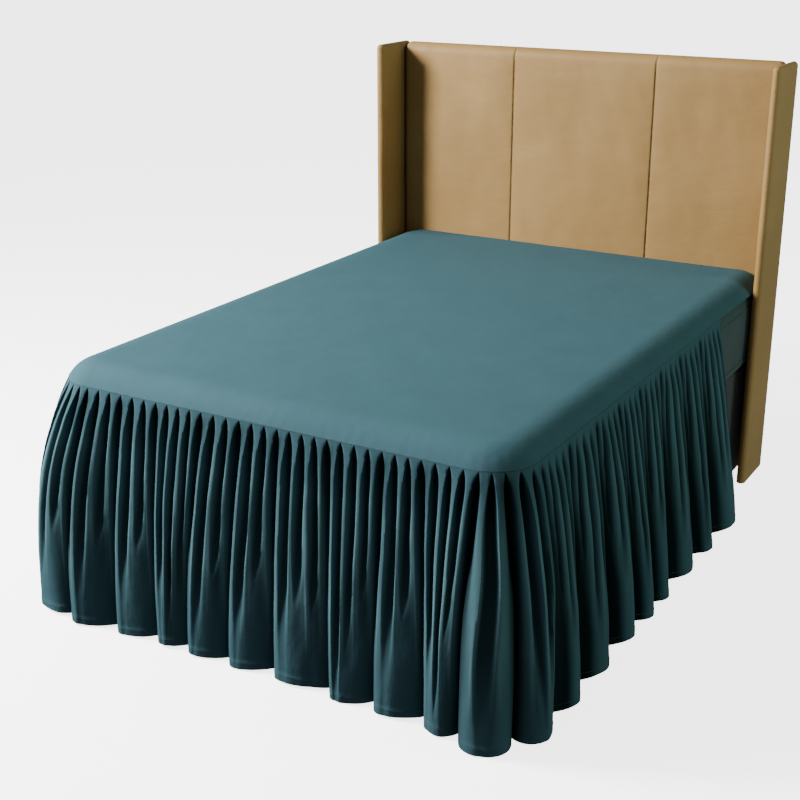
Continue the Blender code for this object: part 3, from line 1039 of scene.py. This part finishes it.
def board(u, height, middle, half, seams, puff, seed, round_edge):
    """Place across, thickness position, height and crease of each point."""
    side, z = board_loop(height, half).T
    u, side = np.meshgrid(u, side)
    z = np.repeat(z[:, None], u.shape[1], axis=1)
    low, high = u.min(), u.max()
    swell, crease, near = section_puff(u, low, high, seams)
    edge = np.minimum(u - low, high - u) / round_edge
    edge = np.sqrt(np.clip(1.0 - (1.0 - np.clip(edge, 0.0, 1.0)) ** 2,
                           0.04, 1.0))
    rise = ease(0.0, 0.10, height - z)
    pull = soft_noise(z, u * 0.25, 0.013, seed)
    pull = pull * np.exp(-near / 0.022) * (1.0 - np.exp(-near / 0.004))
    wide = soft_noise(u * 1.2, z * 0.55, 0.085, seed + 1)
    fine = soft_noise(u + 0.4 * z, z * 0.5, 0.030, seed + 2)
    front = puff * swell * blend(0.35, 1.0, rise) - GROOVE * crease
    front = front + 0.0011 * pull + 0.0012 * wide + 0.0005 * fine
    facing = np.clip(-side, 0.0, 1.0) ** 0.5
    place = middle + side * half * edge - front * facing * edge
    top = (z - (height - half)).clip(0.0) * edge
    z = np.minimum(z, height - half) + top
    return u, place, z, crease * facing


def closed_board(name, points, crease, mirrored=False):
    """A closed shell of leather, its normals turned outwards."""
    top, bottom, left, right = grid_rim(*points.shape[:2])
    faces = grid_faces(*points.shape[:2])
    faces += [left, right[::-1], top + bottom[::-1]]
    if mirrored:
        faces = [face[::-1] for face in faces]
    made = new_object(name, points.reshape(-1, 3), faces)
    add_values(made, "crease", crease)
    rework(made, lambda mesh: bmesh.ops.recalc_face_normals(
        mesh, faces=mesh.faces))
    smooth(made, math.radians(55.0))
    measure(made)
    return made


print("points round a board:", len(board_loop(1.0, 0.1)))

# %% Build the padded boards
HEADBOARD_HEIGHT = 1.39
HEADBOARD_HALF = 0.698
PANEL_FRONT = 0.9625
PANEL_BACK = BED_LENGTH / 2 + GAP + 0.075
PANEL_SEAMS = (-0.250, 0.270)
BESIDE_SEAM = (0.0018, 0.0038, 0.006, 0.009)  # columns on both its sides
WING_FRONT = BED_LENGTH / 2 + GAP - 0.140
WING_THICK = 0.028


def build_panel():
    """The board behind the mattress, in three sewn sections."""
    beside = (0.0, *BESIDE_SEAM, *(-x for x in BESIDE_SEAM))
    u = np.linspace(-HEADBOARD_HALF, HEADBOARD_HALF, 231)
    for seam in PANEL_SEAMS:
        u = u[np.abs(u - seam) > 0.011]
    u = np.sort([*u, *(seam + x for seam in PANEL_SEAMS for x in beside)])
    u, y, z, crease = board(u, HEADBOARD_HEIGHT,
                            (PANEL_BACK + PANEL_FRONT) / 2,
                            (PANEL_BACK - PANEL_FRONT) / 2,
                            PANEL_SEAMS, puff=0.005, seed=41,
                            round_edge=0.022)
    points = np.stack((u, y, z), -1)
    return closed_board("headboard_front", points, crease), points


def build_wing(side):
    """A wing in front of the panel's end, creased where the two meet."""
    v = np.linspace(WING_FRONT, PANEL_BACK, 64)
    middle = HEADBOARD_HALF + GAP + WING_THICK / 2
    v, x, z, crease = board(v, HEADBOARD_HEIGHT, middle, WING_THICK / 2, (),
                            puff=0.002, seed=50 + side, round_edge=0.016)
    # Painted shade: a dark band on the wing's inner face beside the panel.
    crease = 0.8 * np.exp(-np.abs(v - BED_LENGTH / 2) / 0.012) * (x < middle)
    name = "headboard_wing_" + ("r" if side > 0 else "l")
    return closed_board(name, np.stack((side * x, v, z), -1), crease,
                        mirrored=side < 0)


panel, panel_points = build_panel()
dress(panel, "headboard_panel", tan_leather)
for side, node in ((1, "headboard_wing_right"), (-1, "headboard_wing_left")):
    wing = build_wing(side)
    dress(wing, node, tan_leather)

# %% [markdown]
# ## Growing stitches and cords
# Stitches and corded edges repeat along a path, which is work for Geometry
# Nodes: the path is a line of points, and the tree sets a bead at every pitch,
# turned along the line, or sweeps a round cord along it. The result is turned
# into plain mesh at once, because the export drops instances.

# %% Trees that grow on a line
NUMBER, WHOLE = "NodeSocketFloat", "NodeSocketInt"
COVER, SHAPE = "NodeSocketMaterial", "NodeSocketGeometry"


class Growth(Tree):
    """A Geometry Nodes tree with named inputs."""

    def __init__(self, name, **inputs):
        super().__init__(bpy.data.node_groups.new(name, "GeometryNodeTree"))
        for label, kind in {"Line": SHAPE, **inputs, "Finish": COVER}.items():
            self.tree.interface.new_socket(label.replace("_", " "),
                                           in_out="INPUT", socket_type=kind)
        self.tree.interface.new_socket("Shape", in_out="OUTPUT",
                                       socket_type=SHAPE)
        start = self.tree.nodes.new("NodeGroupInput")
        self.given = {s.name: Wire(self, s) for s in start.outputs if s.name}
        self.line = self.node("GeometryNodeMeshToCurve", {},
                              {0: self.given["Line"]})

    def finish(self, shape):
        """Ends the tree as real geometry with its material."""
        real = self.node("GeometryNodeRealizeInstances", {}, {0: shape})
        done = self.node("GeometryNodeSetMaterial", {},
                         {"Geometry": real, "Material": self.given["Finish"]})
        end = self.tree.nodes.new("NodeGroupOutput")
        self.tree.links.new(done.socket, end.inputs["Shape"])
        return self

    def grow(self, name, lines, **values):
        """A plain mesh object grown on lines of points."""
        first = np.cumsum([0] + [len(line) for line in lines])
        edges = [(a, a + 1) for start, end in zip(first, first[1:])
                 for a in range(start, end - 1)]
        made = new_object(name, np.concatenate(lines), [], edges)
        modifier = made.modifiers.new("growth", "NODES")
        modifier.node_group = self.tree
        for item in self.tree.interface.items_tree:
            label = item.name.replace(" ", "_")
            if item.in_out == "INPUT" and label in values:
                modifier[item.identifier] = values[label]
        make_plain(made, modifier)
        measure(made)
        return made


def stitch_row():
    """Beads of thread, end to end along the line, each a little uneven."""
    tree = Growth("stitch_row", Pitch=NUMBER, Length=NUMBER, Thickness=NUMBER,
                  Seed=WHOLE)
    given = tree.given
    spots = tree.node("GeometryNodeResampleCurve", {"mode": "LENGTH"},
                      {"Curve": tree.line, "Length": given["Pitch"]})
    bead = tree.node("GeometryNodeMeshUVSphere", {},
                     {"Segments": 6, "Rings": 4, "Radius": 0.5})
    bead = tree.node("GeometryNodeSetShadeSmooth", {}, {0: bead})
    along = tree.node("GeometryNodeInputTangent")
    turn = tree.node("FunctionNodeAlignRotationToVector", {"axis": "X"},
                     {"Vector": along})
    pull = tree.node("FunctionNodeRandomValue", {"data_type": "FLOAT"},
                     {2: 0.86, 3: 1.08, "Seed": given["Seed"]}, out=1)
    size = tree.node("ShaderNodeCombineXYZ", {},
                     {0: given["Length"] * pull, 1: given["Thickness"],
                      2: given["Thickness"]})
    return tree.finish(tree.node(
        "GeometryNodeInstanceOnPoints", {},
        {"Points": spots, "Instance": bead, "Rotation": turn, "Scale": size}))


def corded_edge():
    """A round cord swept along the line."""
    tree = Growth("corded_edge", Radius=NUMBER)
    ring = tree.node("GeometryNodeCurvePrimitiveCircle", {},
                     {"Resolution": 10, "Radius": tree.given["Radius"]})
    cord = tree.node("GeometryNodeCurveToMesh", {},
                     {"Curve": tree.line, "Profile Curve": ring,
                      "Fill Caps": True})
    return tree.finish(tree.node("GeometryNodeSetShadeSmooth", {}, {0: cord}))


stitches, cord = stitch_row(), corded_edge()
print("trees:", ", ".join(tree.name for tree in bpy.data.node_groups))

# %% [markdown]
# ## Sewing
# The hem is turned up and stitched about two centimetres above its edge, and
# the top panel is topstitched just above the gathering seam, through the
# allowances behind it. The mattress has two corded tape edges. The headboard's
# seams are topstitched on both sides with a thicker thread.

# %% Hem and seam stitches
HEM_STITCH = 0.0185  # above the hem
SEAM_STITCH = 0.0030  # above the gathering seam
PROUD = 0.0002  # how far a line lies off its face
FINE_STITCH = {"Pitch": 0.0032, "Length": 0.0027, "Thickness": 0.0006}


def row_at(points, drops, drop):
    """The line across a skirt at one drop, just proud of its face."""
    row = int(np.searchsorted(drops, drop)) - 1
    share = (drop - drops[row]) / (drops[row + 1] - drops[row])
    line = blend(points[row], points[row + 1], share)
    across = np.gradient(line, axis=0)
    facing = np.cross(across, points[row + 1] - points[row])
    facing /= -np.linalg.norm(facing, axis=1)[:, None]
    return line + facing * PROUD


def seam_stitch_line():
    """The line on the top panel just above the gathering seam."""
    places = np.arange(-HEAD_PLACE + 0.004, HEAD_PLACE - 0.004, 0.0045)
    inset = SEAM_STITCH * math.cos(EDGE_TURN)
    line = band_point(places, np.full(len(places), inset))
    out = seam_line(places)[1] * math.sin(EDGE_TURN)
    out[..., 2] = math.cos(EDGE_TURN)
    return line + out * PROUD


sewn = {}
for side, (made, points, width) in skirts.items():
    line = row_at(points, skirt_rows(), SEAM_HEIGHT - HEM_STITCH)
    sewn[side] = stitches.grow("hem_stitches_" + side, [line], Seed=3,
                               **FINE_STITCH, Finish=teal_thread)
sewn["top"] = stitches.grow("seam_stitches", [seam_stitch_line()], Seed=4,
                            **FINE_STITCH, Finish=teal_thread)
for row in sewn.values():
    dress(row)

# %% Mattress cords and headboard stitches
TAPE_HEIGHTS = (0.436, 0.612)
CORD_RADIUS = 0.0030
BOARD_STITCH = 0.0045  # beside each seam of the headboard
STRONG_STITCH = {"Pitch": 0.0052, "Length": 0.0042, "Thickness": 0.0009}

point, out = mattress_outline()
tapes = [(point + out * PROUD)[1:-1] + np.array((0.0, 0.0, height))
         for height in TAPE_HEIGHTS]
dress(cord.grow("mattress_cords", tapes, Radius=CORD_RADIUS,
                Finish=mattress_cover))


def board_line(points, x):
    """An upright line on the headboard's front, just proud of it."""
    front = points[2:FRONT_STEPS - 2]
    y = [np.interp(x, row[:, 0], row[:, 1]) - PROUD for row in front]
    return np.stack((np.full(len(y), x), y, front[:, 5, 2]), axis=1)


rows = [board_line(panel_points, seam + side * BOARD_STITCH)
        for seam in PANEL_SEAMS for side in (-1.0, 1.0)]
dress(stitches.grow("headboard_stitches", rows, Seed=5, **STRONG_STITCH,
                    Finish=tan_thread))
